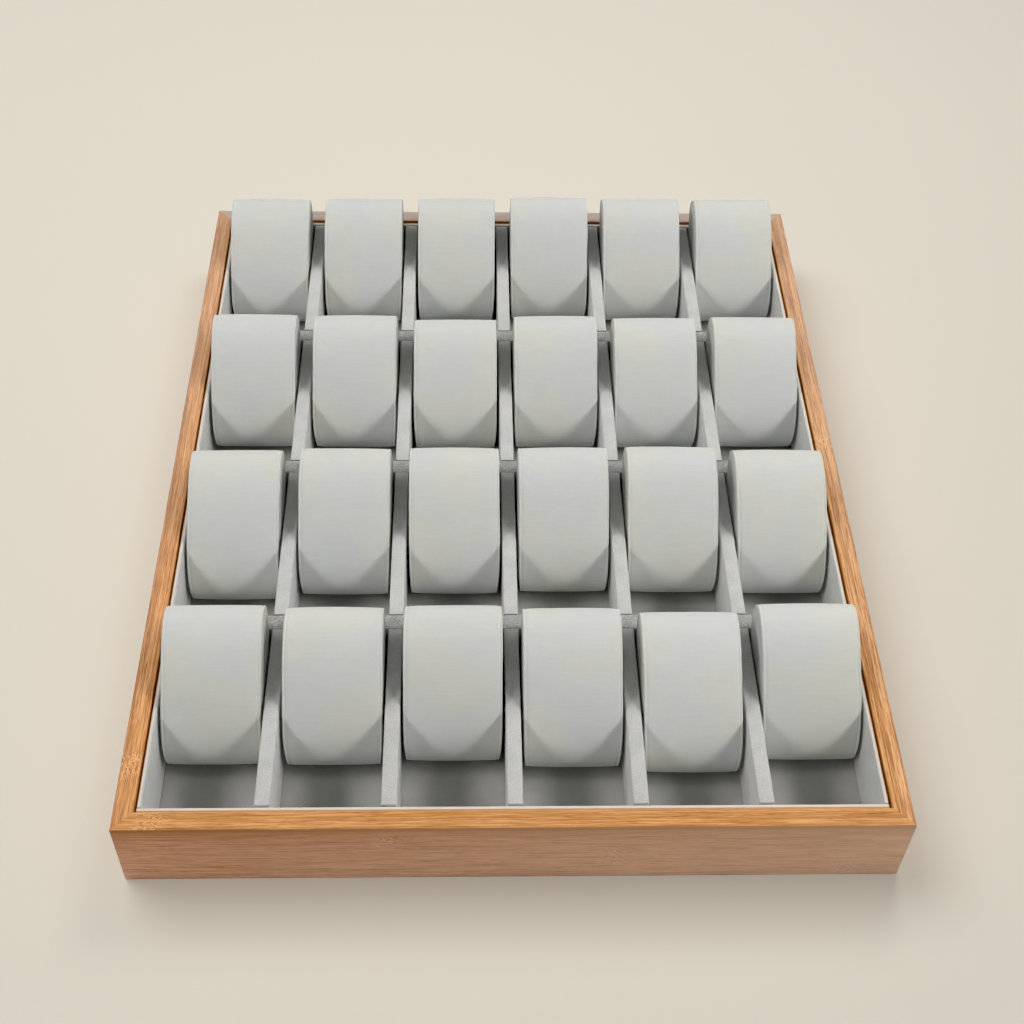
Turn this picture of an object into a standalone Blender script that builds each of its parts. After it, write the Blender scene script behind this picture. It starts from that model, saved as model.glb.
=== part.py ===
"""Watch tray: a mitred bamboo frame, a velvet insert of 24 cells and 24 lift-out pillows.

Metres, +Z up. The origin is at the middle of the tray's underside. The front faces -Y.
"""
import math

import bmesh
import bpy

MM = 0.001
X_AXIS, Y_AXIS = 0, 1

# Running gap between pieces that touch
FIT = 0.3 * MM

# Cells
COLUMNS = 6
ROWS = 4

# Pillows
PILLOW_LENGTH = 74.0 * MM
PILLOW_THICKNESS = 34.0 * MM
PILLOW_WIDTH = 47.4 * MM
PILLOW_SIDE_ROOM = 0.6 * MM
PILLOW_SQUARENESS = 2.4
PILLOW_SIDES = 24
PILLOW_LEAN = 41.0
CREASE_DEGREES = 45.0
BAND_CROWN = 0.5 * MM
BAND_ROLL = 1.1 * MM
ROLL_DROP_SHARE = 0.7
CAP_SINK = 1.0 * MM
CAP_RIM = 0.7 * MM
CAP_HOLLOW = 0.5 * MM

# How each pillow was set down: degrees more or less than the plain lean, front row first
LEAN_CHANGES = (
    (-0.5, -1.5, 0.5, -3.0, -6.5, 0.5),
    (-4.5, -2.0, -1.5, -0.5, -0.5, -2.0),
    (0.5, 0.0, -1.5, 0.0, -0.5, 0.5),
    (0.0, 1.0, 1.5, 3.5, 2.5, 2.0),
)

# How full each pillow is against the plain one, front row first
FULLNESS_SHARES = (
    (1.01, 1.0, 0.99, 1.01, 1.02, 1.0),
    (1.04, 1.02, 1.02, 1.01, 1.02, 1.01),
    (1.0, 1.0, 0.98, 1.0, 0.99, 0.99),
    (1.0, 1.0, 1.0, 1.0, 1.0, 1.0),
)

# Insert: dividers, liner walls and lining
LONG_DIVIDER_THICKNESS = 7.0 * MM
CROSS_DIVIDER_THICKNESS = 8.5 * MM
DIVIDER_EASE_SHARE = 0.14
DIVIDER_END_GAP = 0.5 * MM
LAP_GAP_BEHIND = 0.6 * MM
INSERT_HEIGHT = 34.4 * MM
FRONT_ROOM = 32.8 * MM
END_CELL_EXTRA = 2.8 * MM
LINER_THICKNESS = 2.2 * MM
LINER_EASE_SHARE = 0.2
LINER_GAP = 0.6 * MM
LINING_THICKNESS = 1.2 * MM

# Frame and base
RAIL_THICKNESS = 9.0 * MM
RAIL_EASE_SHARE = 0.07
RIM_STEP = 1.5 * MM
BASE_THICKNESS = 4.0 * MM
BASE_LIFT = 1.5 * MM
GROOVE_SHARE = 0.5

# Colour as red, green and blue, then roughness
BAMBOO = ((0.56, 0.29, 0.11), 0.45)
BOARD = ((0.42, 0.25, 0.12), 0.7)
VELVET = ((0.36, 0.37, 0.37), 0.95)
SUEDE = ((0.52, 0.53, 0.51), 0.9)


def oval_point(turn, half_length, half_thickness):
    """A point on the pillow's squared oval: along its length, then across its thickness."""
    power = 2 / PILLOW_SQUARENESS
    along = math.copysign(abs(math.cos(turn)) ** power, math.cos(turn))
    across = math.copysign(abs(math.sin(turn)) ** power, math.sin(turn))
    return half_length * along, half_thickness * across


def oval(inset, fullness):
    """The pillow's outline, drawn in all round by the inset."""
    half_length = PILLOW_LENGTH * fullness / 2 - inset
    half_thickness = PILLOW_THICKNESS * fullness / 2 - inset
    turns = [2 * math.pi * k / PILLOW_SIDES for k in range(PILLOW_SIDES)]
    return [oval_point(turn, half_length, half_thickness) for turn in turns]


def leaned(outline, degrees):
    """The outline as seen from the side, with its far end raised by the lean."""
    cos, sin = math.cos(math.radians(degrees)), math.sin(math.radians(degrees))
    return [(y * cos - z * sin, y * sin + z * cos) for y, z in outline]


PILLOW_REACH = max(y for y, z in leaned(oval(0, 1), PILLOW_LEAN)) * 2

# Sizes that follow
CELL_WIDTH = PILLOW_WIDTH + 2 * PILLOW_SIDE_ROOM
CELL_DEPTH = PILLOW_REACH + FRONT_ROOM
COLUMN_PITCH = CELL_WIDTH + LONG_DIVIDER_THICKNESS
ROW_PITCH = CELL_DEPTH + CROSS_DIVIDER_THICKNESS
WALL_BUILD = RAIL_THICKNESS + LINER_GAP + LINER_THICKNESS
WELL_WIDTH = COLUMNS * COLUMN_PITCH - LONG_DIVIDER_THICKNESS
WELL_DEPTH = ROWS * ROW_PITCH - CROSS_DIVIDER_THICKNESS + 2 * END_CELL_EXTRA
TRAY_WIDTH = WELL_WIDTH + 2 * WALL_BUILD
TRAY_DEPTH = WELL_DEPTH + 2 * WALL_BUILD
BASE_TOP = BASE_LIFT + BASE_THICKNESS
LINING_BOTTOM = BASE_TOP + FIT
LINING_TOP = LINING_BOTTOM + LINING_THICKNESS
INSERT_BOTTOM = LINING_TOP + FIT
INSERT_TOP = INSERT_BOTTOM + INSERT_HEIGHT
RAIL_HEIGHT = INSERT_TOP + RIM_STEP
LAP_HEIGHT = INSERT_HEIGHT / 2


def clear_scene():
    for item in list(bpy.data.objects):
        bpy.data.objects.remove(item, do_unlink=True)


def material(name, look):
    colour, roughness = look
    made = bpy.data.materials.new(name)
    made.use_nodes = True
    shader = made.node_tree.nodes["Principled BSDF"]
    shader.inputs["Base Color"].default_value = (*colour, 1)
    shader.inputs["Roughness"].default_value = roughness
    shader.inputs["Metallic"].default_value = 0
    return made


def add_object(name, bm, look, location=(0, 0, 0)):
    """Close the mesh with its faces out, and put it in the scene with its own material."""
    bmesh.ops.recalc_face_normals(bm, faces=bm.faces)
    mesh = bpy.data.meshes.new(name)
    bm.to_mesh(mesh)
    bm.free()
    mesh.materials.append(material(name, look))
    made = bpy.data.objects.new(name, mesh)
    made.location = location
    bpy.context.scene.collection.objects.link(made)
    return made


def skin(bm, rings):
    """Faces between rings of points that match one to one. Fills both ends and returns them."""
    loops = [[bm.verts.new(point) for point in ring] for ring in rings]
    count = len(loops[0])
    for low, high in zip(loops, loops[1:]):
        for k in range(count):
            after = (k + 1) % count
            bm.faces.new((low[k], low[after], high[after], high[k]))
    return [bm.faces.new(loops[0]), bm.faces.new(loops[-1])]


def block(size):
    """A plain board about its own middle."""
    bm = bmesh.new()
    bmesh.ops.create_cube(bm, size=1)
    bmesh.ops.scale(bm, vec=size, verts=bm.verts)
    return bm


def ease_top(bm, top, width, across):
    """Take the sharp edge off the two long edges of a top face, whose thickness is on axis across."""
    def runs_along_top(edge):
        start, end = (vert.co for vert in edge.verts)
        on_top = max(abs(start.z - top), abs(end.z - top)) < FIT / 2
        return on_top and abs(start[across] - end[across]) < FIT / 2

    edges = [edge for edge in bm.edges if runs_along_top(edge)]
    bmesh.ops.bevel(bm, geom=edges, offset=width, segments=1, affect="EDGES")


def rail_section():
    """The rail's cross-section: distance in from its outer face, then height."""
    ease = RAIL_THICKNESS * RAIL_EASE_SHARE
    groove_in = RAIL_THICKNESS * (1 - GROOVE_SHARE)
    return [
        (0, 0),
        (RAIL_THICKNESS, 0),
        (RAIL_THICKNESS, BASE_LIFT - FIT),
        (groove_in, BASE_LIFT - FIT),
        (groove_in, BASE_TOP + FIT),
        (RAIL_THICKNESS, BASE_TOP + FIT),
        (RAIL_THICKNESS, RAIL_HEIGHT - ease),
        (RAIL_THICKNESS - ease, RAIL_HEIGHT),
        (ease, RAIL_HEIGHT),
        (0, RAIL_HEIGHT - ease),
    ]


def rail(name, length, location, quarter_turns):
    """A rail along X with its outer face at -Y and mitred ends, then turned to its side."""
    gap = FIT / 2 * math.sqrt(2)
    rings = []
    for side in (-1, 1):
        rings.append([(side * (length / 2 - inward - gap), inward, z) for inward, z in rail_section()])
    bm = bmesh.new()
    skin(bm, rings)
    made = add_object(name, bm, BAMBOO, location)
    made.rotation_euler.z = quarter_turns * math.pi / 2
    return made


def frame_rails():
    rail("frame_front_rail", TRAY_WIDTH, (0, -TRAY_DEPTH / 2, 0), 0)
    rail("frame_right_rail", TRAY_DEPTH, (TRAY_WIDTH / 2, 0, 0), 1)
    rail("frame_rear_rail", TRAY_WIDTH, (0, TRAY_DEPTH / 2, 0), 2)
    rail("frame_left_rail", TRAY_DEPTH, (-TRAY_WIDTH / 2, 0, 0), 3)


def base_and_lining():
    groove_floor = RAIL_THICKNESS * (1 - GROOVE_SHARE) + FIT
    size = (TRAY_WIDTH - 2 * groove_floor, TRAY_DEPTH - 2 * groove_floor, BASE_THICKNESS)
    add_object("base_panel", block(size), BOARD, (0, 0, BASE_LIFT + BASE_THICKNESS / 2))
    inside = RAIL_THICKNESS + FIT
    size = (TRAY_WIDTH - 2 * inside, TRAY_DEPTH - 2 * inside, LINING_THICKNESS)
    add_object("floor_lining", block(size), VELVET, (0, 0, LINING_BOTTOM + LINING_THICKNESS / 2))


def wall(name, size, location, across):
    bm = block(size)
    ease_top(bm, INSERT_HEIGHT / 2, LINER_THICKNESS * LINER_EASE_SHARE, across)
    add_object(name, bm, VELVET, location)


def liner_walls():
    """The end walls run the full width, and the side walls stand between them."""
    middle = INSERT_BOTTOM + INSERT_HEIGHT / 2
    across = TRAY_WIDTH - 2 * (RAIL_THICKNESS + LINER_GAP)
    along = WELL_DEPTH - 2 * FIT
    side_x = WELL_WIDTH / 2 + LINER_THICKNESS / 2
    end_y = WELL_DEPTH / 2 + LINER_THICKNESS / 2
    end_size = (across, LINER_THICKNESS, INSERT_HEIGHT)
    side_size = (LINER_THICKNESS, along, INSERT_HEIGHT)
    wall("liner_front_wall", end_size, (0, -end_y, middle), Y_AXIS)
    wall("liner_rear_wall", end_size, (0, end_y, middle), Y_AXIS)
    wall("liner_left_wall", side_size, (-side_x, 0, middle), X_AXIS)
    wall("liner_right_wall", side_size, (side_x, 0, middle), X_AXIS)


def column_x(column):
    return (column - (COLUMNS + 1) / 2) * COLUMN_PITCH


def long_divider_x(number):
    return (number - COLUMNS / 2) * COLUMN_PITCH


def cross_divider_y(number):
    return (number - ROWS / 2) * ROW_PITCH


def slotted_outline(length, slots):
    """A divider seen from its side: places along it, then heights from its plain edge.

    Each slot is a pair of places along the divider, cut in from the other edge to half its height.
    """
    floor = LAP_HEIGHT - FIT / 2
    outline = [(length / 2, 0), (-length / 2, 0), (-length / 2, INSERT_HEIGHT)]
    for start, end in slots:
        outline += [(start, INSERT_HEIGHT), (start, floor), (end, floor), (end, INSERT_HEIGHT)]
    outline.append((length / 2, INSERT_HEIGHT))
    return outline


def divider(outline, thickness, across, slots_down):
    """Stand the outline up with its slots up or down, and give it its thickness on axis across."""
    rings = []
    for side in (-1, 1):
        ring = []
        for along, height in outline:
            z = INSERT_HEIGHT - height if slots_down else height
            offset = side * thickness / 2
            ring.append((offset, along, z) if across == X_AXIS else (along, offset, z))
        rings.append(ring)
    bm = bmesh.new()
    skin(bm, rings)
    ease_top(bm, INSERT_HEIGHT, thickness * DIVIDER_EASE_SHARE, across)
    return bm


def long_dividers():
    """Front to rear, slotted from above. The slot is wider behind the cross divider."""
    length = WELL_DEPTH - 2 * DIVIDER_END_GAP
    half = CROSS_DIVIDER_THICKNESS / 2
    places = [cross_divider_y(number) for number in range(1, ROWS)]
    slots = [(y - half - FIT, y + half + LAP_GAP_BEHIND) for y in places]
    outline = slotted_outline(length, slots)
    for number in range(1, COLUMNS):
        bm = divider(outline, LONG_DIVIDER_THICKNESS, X_AXIS, slots_down=False)
        add_object(f"long_divider_{number}", bm, VELVET, (long_divider_x(number), 0, INSERT_BOTTOM))


def cross_dividers():
    """Left to right, slotted from below to drop over the long dividers."""
    length = WELL_WIDTH - 2 * DIVIDER_END_GAP
    half = LONG_DIVIDER_THICKNESS / 2
    places = [long_divider_x(number) for number in range(1, COLUMNS)]
    slots = [(x - half - FIT, x + half + FIT) for x in places]
    outline = slotted_outline(length, slots)
    for number in range(1, ROWS):
        bm = divider(outline, CROSS_DIVIDER_THICKNESS, Y_AXIS, slots_down=True)
        add_object(f"cross_divider_{number}", bm, VELVET, (0, cross_divider_y(number), INSERT_BOTTOM))


def cell_back(row):
    """The face that a row's pillows lean on."""
    if row == ROWS:
        return WELL_DEPTH / 2
    return cross_divider_y(row) - CROSS_DIVIDER_THICKNESS / 2


def pillow_seat(row, lean, fullness):
    """Where the middle of a pillow comes to lie: down on the lining and back on its divider."""
    side = leaned(oval(0, fullness), lean)
    z = INSERT_BOTTOM - min(point[1] for point in side)
    lean_height = INSERT_TOP - z
    back = []
    for here, after in zip(side, side[1:] + side[:1]):
        if here[1] <= lean_height:
            back.append(here[0])
        if (here[1] - lean_height) * (after[1] - lean_height) < 0:
            share = (lean_height - here[1]) / (after[1] - here[1])
            back.append(here[0] + share * (after[0] - here[0]))
    return cell_back(row) - FIT - max(back), z


def pillow_mesh(fullness):
    """A crowned band with rolled edges, and end caps that are drawn in between them."""
    half = PILLOW_WIDTH / 2
    drop = BAND_CROWN + BAND_ROLL * ROLL_DROP_SHARE
    side = [
        (half - CAP_SINK, drop + CAP_RIM),
        (half, drop),
        (half - BAND_ROLL, BAND_CROWN),
    ]
    stations = [(-x, inset) for x, inset in side] + [(0, 0)] + side[::-1]
    bm = bmesh.new()
    rings = [[(x, y, z) for y, z in oval(inset, fullness)] for x, inset in stations]
    caps = skin(bm, rings)
    middles = bmesh.ops.poke(bm, faces=caps)["verts"]
    for vert in middles:
        vert.co.x -= math.copysign(CAP_HOLLOW, vert.co.x)
    return bm


def pillows():
    for row in range(1, ROWS + 1):
        for column in range(1, COLUMNS + 1):
            lean = PILLOW_LEAN + LEAN_CHANGES[row - 1][column - 1]
            fullness = FULLNESS_SHARES[row - 1][column - 1]
            y, z = pillow_seat(row, lean, fullness)
            name = f"pillow_r{row}_c{column}"
            made = add_object(name, pillow_mesh(fullness), SUEDE, (column_x(column), y, z))
            made.rotation_euler.x = math.radians(lean)
            made.data.shade_smooth()
            made.data.set_sharp_from_angle(angle=math.radians(CREASE_DEGREES))


def main():
    clear_scene()
    frame_rails()
    base_and_lining()
    liner_walls()
    long_dividers()
    cross_dividers()
    pillows()
    for name, value in (("width", TRAY_WIDTH), ("depth", TRAY_DEPTH), ("rail height", RAIL_HEIGHT)):
        print(f"tray {name} {value / MM:.1f} mm")


main()
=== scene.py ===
"""Dresses the watch tray: a bamboo frame, a velvet insert and suede pillows.

Metres, +Z up, in the frame's own place. The front faces -Y.
"""
import math
from collections import namedtuple

import bmesh
import bpy
import numpy as np
from mathutils import Matrix, Vector


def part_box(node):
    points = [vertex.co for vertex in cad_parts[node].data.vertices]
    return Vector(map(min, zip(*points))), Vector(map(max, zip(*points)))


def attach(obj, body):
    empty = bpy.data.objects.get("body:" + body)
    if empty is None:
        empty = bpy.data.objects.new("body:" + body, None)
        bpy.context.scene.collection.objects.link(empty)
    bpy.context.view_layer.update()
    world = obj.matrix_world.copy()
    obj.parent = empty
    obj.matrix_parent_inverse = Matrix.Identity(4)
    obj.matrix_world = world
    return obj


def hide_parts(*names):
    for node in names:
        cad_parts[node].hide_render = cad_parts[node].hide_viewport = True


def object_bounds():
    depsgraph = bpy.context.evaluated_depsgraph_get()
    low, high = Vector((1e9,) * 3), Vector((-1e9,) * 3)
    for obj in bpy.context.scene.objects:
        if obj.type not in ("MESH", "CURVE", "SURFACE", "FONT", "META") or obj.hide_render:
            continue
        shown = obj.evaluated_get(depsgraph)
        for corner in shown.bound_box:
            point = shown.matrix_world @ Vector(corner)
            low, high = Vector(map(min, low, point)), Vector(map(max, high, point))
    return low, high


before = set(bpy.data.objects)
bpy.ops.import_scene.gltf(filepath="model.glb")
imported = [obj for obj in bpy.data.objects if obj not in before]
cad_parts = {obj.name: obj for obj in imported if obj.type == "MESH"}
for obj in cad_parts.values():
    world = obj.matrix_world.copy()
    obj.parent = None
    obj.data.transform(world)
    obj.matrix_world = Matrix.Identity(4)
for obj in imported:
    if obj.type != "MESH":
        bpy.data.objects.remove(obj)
cad_low, cad_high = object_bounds()

MM = 0.001
COLUMNS = 6
ROWS = 4
TRAY_BODY = "tray"

# Picking and cutting: how near counts as there, how far a normal has to turn, and a cutter's overrun
TINY = 1e-9
NEARNESS = 0.01 * MM
UPWARD = 0.3
SIDEWAYS = 0.9
OVERRUN = 1 * MM

# Bamboo frame
RAIL_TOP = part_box("frame_front_rail")[1].z
TOP_PLY = 3 * MM
ARRIS = 0.55 * MM
MITRE_GAP = 0.02 * MM
GROOVE_ROOM = 0.2 * MM

# Bamboo grain: its strips, then each kind of mark as its length, width and height
STRIP_ACROSS = 3.0 * MM
STRIP_UP = 14.4 * MM
WAVE_SIZE = (38 * MM, 6 * MM, 6 * MM)
WAVE_REACH = 1.6 * MM
BROAD_SIZE = (70 * MM, 4 * MM, 5 * MM)
STREAK_SIZE = (26 * MM, 0.75 * MM, 0.75 * MM)
FIBRE_SIZE = (9 * MM, 0.26 * MM, 0.26 * MM)
PORE_SIZE = (8 * MM, 0.75 * MM, 0.75 * MM)
BURL_SIZE = (5.5 * MM, 1.7 * MM, 1.7 * MM)
BURL_RINGS = 44.0
KNUCKLE_SPACING = 420 * MM
KNUCKLE_STEP = 102 * MM
WOOD_DEPTH = 0.06 * MM

# Where a mark starts and is full, as shares of a pore, of a strip's width and of the knuckles' spacing
PORE_SHARES = (0.36, 0.12)
GLUE_SHARES = (0.455, 0.5)
KNUCKLE_SHARES = (0.477, 0.496)
KNUCKLE_STRAY_SHARE = 0.018

# How much each mark changes the grain's tone, which runs from about 0 to 1
BROAD_TONE = 0.35
STREAK_TONE = 1.5
FIBRE_TONE = 0.6
STRIP_TONE = 0.26
PORE_TONE = -0.22
GLUE_TONE = -0.22
RING_TONE = 0.34
RING_LIFT = 0.35
TONE_LIFT = 0.05
PORE_DEPTH = -0.8

# Bamboo colours: the tones as stops of place and colour, then what is laid over them
TOP_TONES = (
    (0.10, (0.32, 0.130, 0.030)),
    (0.40, (0.52, 0.232, 0.073)),
    (0.60, (0.63, 0.305, 0.110)),
    (0.90, (0.82, 0.47, 0.20)),
)
FACE_TONES = (
    (0.10, (0.36, 0.155, 0.077)),
    (0.42, (0.53, 0.259, 0.137)),
    (0.62, (0.62, 0.320, 0.181)),
    (0.95, (0.76, 0.437, 0.270)),
)
FACE_CONTRAST = 1.22
# Painted light: the next two tints make a rail's faces paler towards the bottom, as light bounced up from
# the floor, and darker towards the top.
PAINTED_FOOT_BOUNCE = (1.10, 1.02, 0.88)
PAINTED_HEAD_SHADE = (0.93, 0.80, 0.68)
TOP_PLY_COLOUR = (0.50, 0.205, 0.055)
TOP_PLY_COVER = 0.8
# A dark line below the top ply: partly the ply's joint, partly painted shade under the rounded arris.
SEAM_AND_ARRIS_SHADE_COLOUR = (0.34, 0.125, 0.025)
SEAM_AND_ARRIS_SHADE_COVER = 0.55
# Painted reflection: a rail's faces are painted paler and greyer towards the right, as the lacquer's
# reflection of the bright floor.
PAINTED_REFLECTION_COLOUR = (0.88, 0.74, 0.60)
PAINTED_REFLECTION_AT_LEFT = 0.02
PALE_WOOD = (0.66, 0.52, 0.42)
REAR_PALENESS = 0.30
FACING_UP = (0.25, 0.75)

# Where a rail's top starts to pale and is palest, as shares of the way to the tray's front and rear
PALE_FROM_SHARE = 0.9
PALE_TO_SHARE = 1.15

# Brushed nap and pile: the finer fibres' size as a share of the others', and how much each kind tells
NAP_PATCH = 14 * MM
NAP_FIBRE = 0.4 * MM
FINER_SHARE = 0.4
FIBRE_WEIGHT = 0.6
FINER_WEIGHT = 0.4
PILE_PATCH_WEIGHT = 0.3
PILE_FIBRE_WEIGHT = 0.7

# Velvet-covered insert
WRAP_ROUND = 0.6 * MM
LINER_ROUND = 0.4 * MM
LINER_REACH = 0.25 * MM
LINER_EDGE = {"board": 1.4 * MM, "paper": 0.4 * MM}
FRONT_LINER_EDGE = {"board": 2.3 * MM, "paper": 1.1 * MM}
REAR_LINER_EDGE = {"board": 2.3 * MM, "paper": 0.1 * MM}
LAP_ROOM = 0.1 * MM
LAP_ROOM_BEHIND = 0.6 * MM
DIVIDER_SHRINKAGE = 0.5 * MM

# Suede pillows: the band
RING_POINTS = 96
RIM_STATIONS = 5
FACE_STATIONS = 14
OVAL_SAMPLES = 4000
OVAL_POWER = 2.4
BAND_CROWN = 0.3 * MM
BAND_EASE = 0.62 * MM
RIM_ROUND = 0.55 * MM
ROLL_HEIGHT = 0.3 * MM
ROLL_WIDTH = 1.5 * MM
ROLL_SHARES = (0.3, 0.6, 1.0, 1.4)
HEM_WIDTH = 0.5 * MM
RECESS_DEPTH = 2.4 * MM
PILLOW_CREASE_DEGREES = 60

# Suede pillows: the caps
CAP_GAP = 0.25 * MM
CAP_SINK = 0.35 * MM
CAP_LIFT = 0.1 * MM
CAP_ROUND = 0.5 * MM
CAP_DOME = 0.5 * MM
DOME_STEPS = 4
DOME_STEP = 2.6 * MM
DOME_POWER = 1.2

# Suede pillows: how the band's cloth swells, and how each one is sewn and set down
CLOTH = {
    "quality": 6,
    "mass": 0.02,
    "tension_stiffness": 20,
    "compression_stiffness": 20,
    "bending_stiffness": 0.5,
    "use_pressure": True,
    "uniform_pressure_force": 60.0,
}
SIMULATED_FRAMES = 20
SWELL_LIMIT = 0.7 * MM
REST_GAP = 0.1 * MM
WAVE_COUNTS = (1, 2, 3, 5)
RIM_WAVE = 0.22 * MM
RIM_PULL = 1.2
RIM_POWER = 3
FACE_WAVE = 0.12 * MM
FACE_PULL = 1.5
TIP_TAPER = 1.3 * MM
TIP_POWER = 5

# Suede: two greys that take turns, then its marks round the pillow and its clouds
COOL_GREY = (0.576, 0.591, 0.592)
WARM_GREY = (0.590, 0.600, 0.560)
MARK_SIZE = (16 * MM, 1.1 * MM, 1.1 * MM)
MARK_TONE = 0.10
MARK_DEPTH = 0.6
CLOUD_SIZE = (7 * MM, 7 * MM, 7 * MM)
CLOUD_TONE = 0.08
NAP_TONE = 0.16
SUEDE_DEPTH = 0.06 * MM

# Pressed fibreboard, its tones as stops of place and colour
FIBREBOARD_TONES = ((0.2, (0.20, 0.11, 0.05)), (0.8, (0.40, 0.25, 0.13)))
FIBREBOARD_DEPTH = 0.1 * MM

# Studio: a paper floor painted paler with distance for the lamps' falloff, the air of the room, the lamps'
# colour and the darks
FLOOR_SIZE = 40
FLOOR_DROP = 0.2 * MM
NEAR_PAPER = (0.43, 0.404, 0.355)
FAR_PAPER_PAINTED_LIGHT = (0.88, 0.83, 0.73)
PAPER_FADE = (0.75, 4.0)
ROOM_TONES = ((0.0, (0.62, 0.58, 0.52)), (1.0, (1.0, 1.0, 1.0)))
ROOM_STRENGTH = 0.085
LAMP_COLOUR = (1.0, 0.985, 0.96)
SKY_DEGREES = 100
DEEPEST = 0.018

# The photograph's camera, in degrees and metres, from the middle of the tray's underside
CAMERA_PLACE = (-0.0210, -0.553, 0.6249)
CAMERA_PITCH = 48.21
CAMERA_YAW = 2.51
CAMERA_ROLL = -1.87
FOCAL_PIXELS = 1519.2
IMAGE_PIXELS = 1024
SENSOR_MM = 36.0


# Handling objects

def only(piece):
    """Select this piece alone and make it the active one."""
    bpy.ops.object.select_all(action="DESELECT")
    piece.select_set(True)
    bpy.context.view_layer.objects.active = piece


def settle(piece):
    """Put the piece's place, turn and scale into its mesh."""
    only(piece)
    bpy.ops.object.transform_apply(location=True, rotation=True, scale=True)


def new_piece(name):
    """Name the primitive that was just added, with its place in its mesh."""
    piece = bpy.context.object
    piece.name = name
    piece.data.name = name
    settle(piece)
    return piece


def board(name, low, high):
    """A board between its lowest and its highest corner."""
    low, high = Vector(low), Vector(high)
    bpy.ops.object.select_all(action="DESELECT")
    bpy.ops.mesh.primitive_cube_add(size=1, location=(low + high) / 2, scale=high - low)
    return new_piece(name)


def open_for_edit(piece, elements):
    """Enter edit mode with nothing selected, ready to select VERT, EDGE or FACE."""
    only(piece)
    bpy.ops.object.mode_set(mode="EDIT")
    bpy.ops.mesh.select_mode(type=elements)
    bpy.ops.mesh.select_all(action="DESELECT")


def close_edit():
    bpy.ops.object.mode_set(mode="OBJECT")


def select_where(piece, elements, wanted):
    """In edit mode, select the faces or the edges that are wanted and no others."""
    bm = bmesh.from_edit_mesh(piece.data)
    for element in getattr(bm, elements):
        element.select_set(wanted(element))
    bm.select_flush_mode()
    bmesh.update_edit_mesh(piece.data)


def apply_modifier(piece, kind, **settings):
    """Add a modifier, set it and apply it."""
    only(piece)
    bpy.ops.object.modifier_add(type=kind)
    modifier = piece.modifiers[-1]
    for key, value in settings.items():
        setattr(modifier, key, value)
    bpy.ops.object.modifier_apply(modifier=modifier.name)


def cut_away(piece, cutters):
    """Cut boards out of a piece and remove them."""
    for cutter in cutters:
        apply_modifier(piece, "BOOLEAN", operation="DIFFERENCE", object=cutter, solver="EXACT")
        bpy.data.objects.remove(cutter, do_unlink=True)


def round_edges(piece, width, segments=3, angle=50):
    """Round every edge that is sharper than the angle."""
    apply_modifier(
        piece, "BEVEL", width=width, segments=segments, limit_method="ANGLE",
        angle_limit=math.radians(angle),
    )


def smooth(piece, angle=35):
    only(piece)
    bpy.ops.object.shade_smooth_by_angle(angle=math.radians(angle))


def dress(piece, *materials):
    piece.data.materials.clear()
    for made in materials:
        piece.data.materials.append(made)


def points_of(piece):
    points = np.zeros(len(piece.data.vertices) * 3)
    piece.data.vertices.foreach_get("co", points)
    return points.reshape(-1, 3)


def move_points(piece, points):
    piece.data.vertices.foreach_set("co", points.ravel())
    piece.data.update()


def copy_piece(piece, name):
    """A copy with its own mesh."""
    copied = piece.copy()
    copied.data = piece.data.copy()
    copied.name = name
    copied.data.name = name
    bpy.context.scene.collection.objects.link(copied)
    return copied


def along_axis(axis, length):
    """A vector of this length along one axis."""
    made = Vector((0, 0, 0))
    made[axis] = length
    return made


def outer_face(low, high, axis):
    """Which way is outward along this axis, as 1 or -1, and where the outer face is."""
    outward = 1 if (low + high)[axis] > 0 else -1
    return outward, high[axis] if outward > 0 else low[axis]


def stand_for(piece, node):
    """The piece rides on the tray in place of a node."""
    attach(piece, TRAY_BODY)
    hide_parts(node)


# Handling shader nodes

def set_inputs(tree, made, inputs):
    """Set inputs to values, or link them to other nodes' outputs."""
    for key, value in inputs.items():
        if isinstance(value, bpy.types.NodeSocket):
            tree.links.new(value, made.inputs[key])
        else:
            made.inputs[key].default_value = value


def node(tree, kind, inputs=None, **settings):
    """Add a shader node. Inputs are values or other nodes' outputs, by name or number."""
    made = tree.nodes.new(kind)
    for key, value in settings.items():
        setattr(made, key, value)
    set_inputs(tree, made, inputs or {})
    return made


def sum_of(tree, operation, *values):
    return node(tree, "ShaderNodeMath", dict(enumerate(values)), operation=operation).outputs[0]


def weighed(tree, first, second):
    """The sum of two values, each given with its weight."""
    return sum_of(tree, "ADD", sum_of(tree, "MULTIPLY", *first), sum_of(tree, "MULTIPLY", *second))


def vector_sum(tree, first, second):
    return node(tree, "ShaderNodeVectorMath", {0: first, 1: second}, operation="ADD").outputs[0]


def axes_of(tree, vector):
    """A vector's three axes, each as an output."""
    return node(tree, "ShaderNodeSeparateXYZ", {0: vector}).outputs


def scaled(tree, vector, sizes):
    """Coordinates counted in these sizes, so that a pattern's unit is that long."""
    factors = tuple(1 / size for size in sizes)
    return node(tree, "ShaderNodeVectorMath", {0: vector, 1: factors}, operation="MULTIPLY").outputs[0]


def noise(tree, vector, sizes, detail=2.0, roughness=0.5):
    """Noise from about 0 to 1, with patches of these sizes."""
    counted = scaled(tree, vector, sizes)
    inputs = {"Vector": counted, "Scale": 1.0, "Detail": detail, "Roughness": roughness}
    return node(tree, "ShaderNodeTexNoise", inputs).outputs["Fac"]


def spread(tree, value, low, high, to_low=0.0, to_high=1.0, ends="SMOOTHSTEP"):
    """Stretch the part of a value between low and high, with soft ends or with LINEAR ones."""
    inputs = {0: value, 1: low, 2: high, 3: to_low, 4: to_high}
    return node(tree, "ShaderNodeMapRange", inputs, interpolation_type=ends).outputs[0]


def with_mark(tree, tone, mark, strength):
    """A tone that a mark from 0 to 1 makes lighter or darker about its middle."""
    return sum_of(tree, "MULTIPLY_ADD", sum_of(tree, "SUBTRACT", mark, 0.5), strength, tone)


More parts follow.
